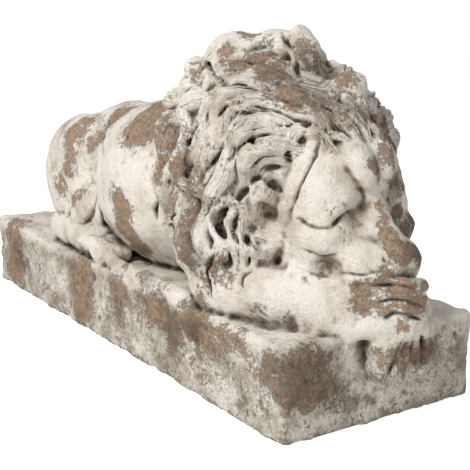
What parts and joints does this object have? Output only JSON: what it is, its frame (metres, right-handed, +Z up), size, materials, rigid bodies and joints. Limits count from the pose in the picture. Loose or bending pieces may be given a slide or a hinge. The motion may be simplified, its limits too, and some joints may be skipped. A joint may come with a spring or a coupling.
{
  "type": "lion garden statue",
  "caption": "Garden statue of a lion resting its chin on crossed forepaws that hang over the front edge of an oblong plinth, cast in one piece under a flaking pale limewash.",
  "frame": {"origin": "middle of the plinth's underside", "axes": "+X towards the lion's head, +Y to the lion's left, +Z up"},
  "size_m": [0.888, 0.2867, 0.4168],
  "materials": {
    "limewashed_cast": "matt off-white limewash flaking over a tan-brown cast body"
  },
  "bodies": {
    "root": {"lion_on_plinth": "limewashed_cast"}
  },
  "joints": []
}
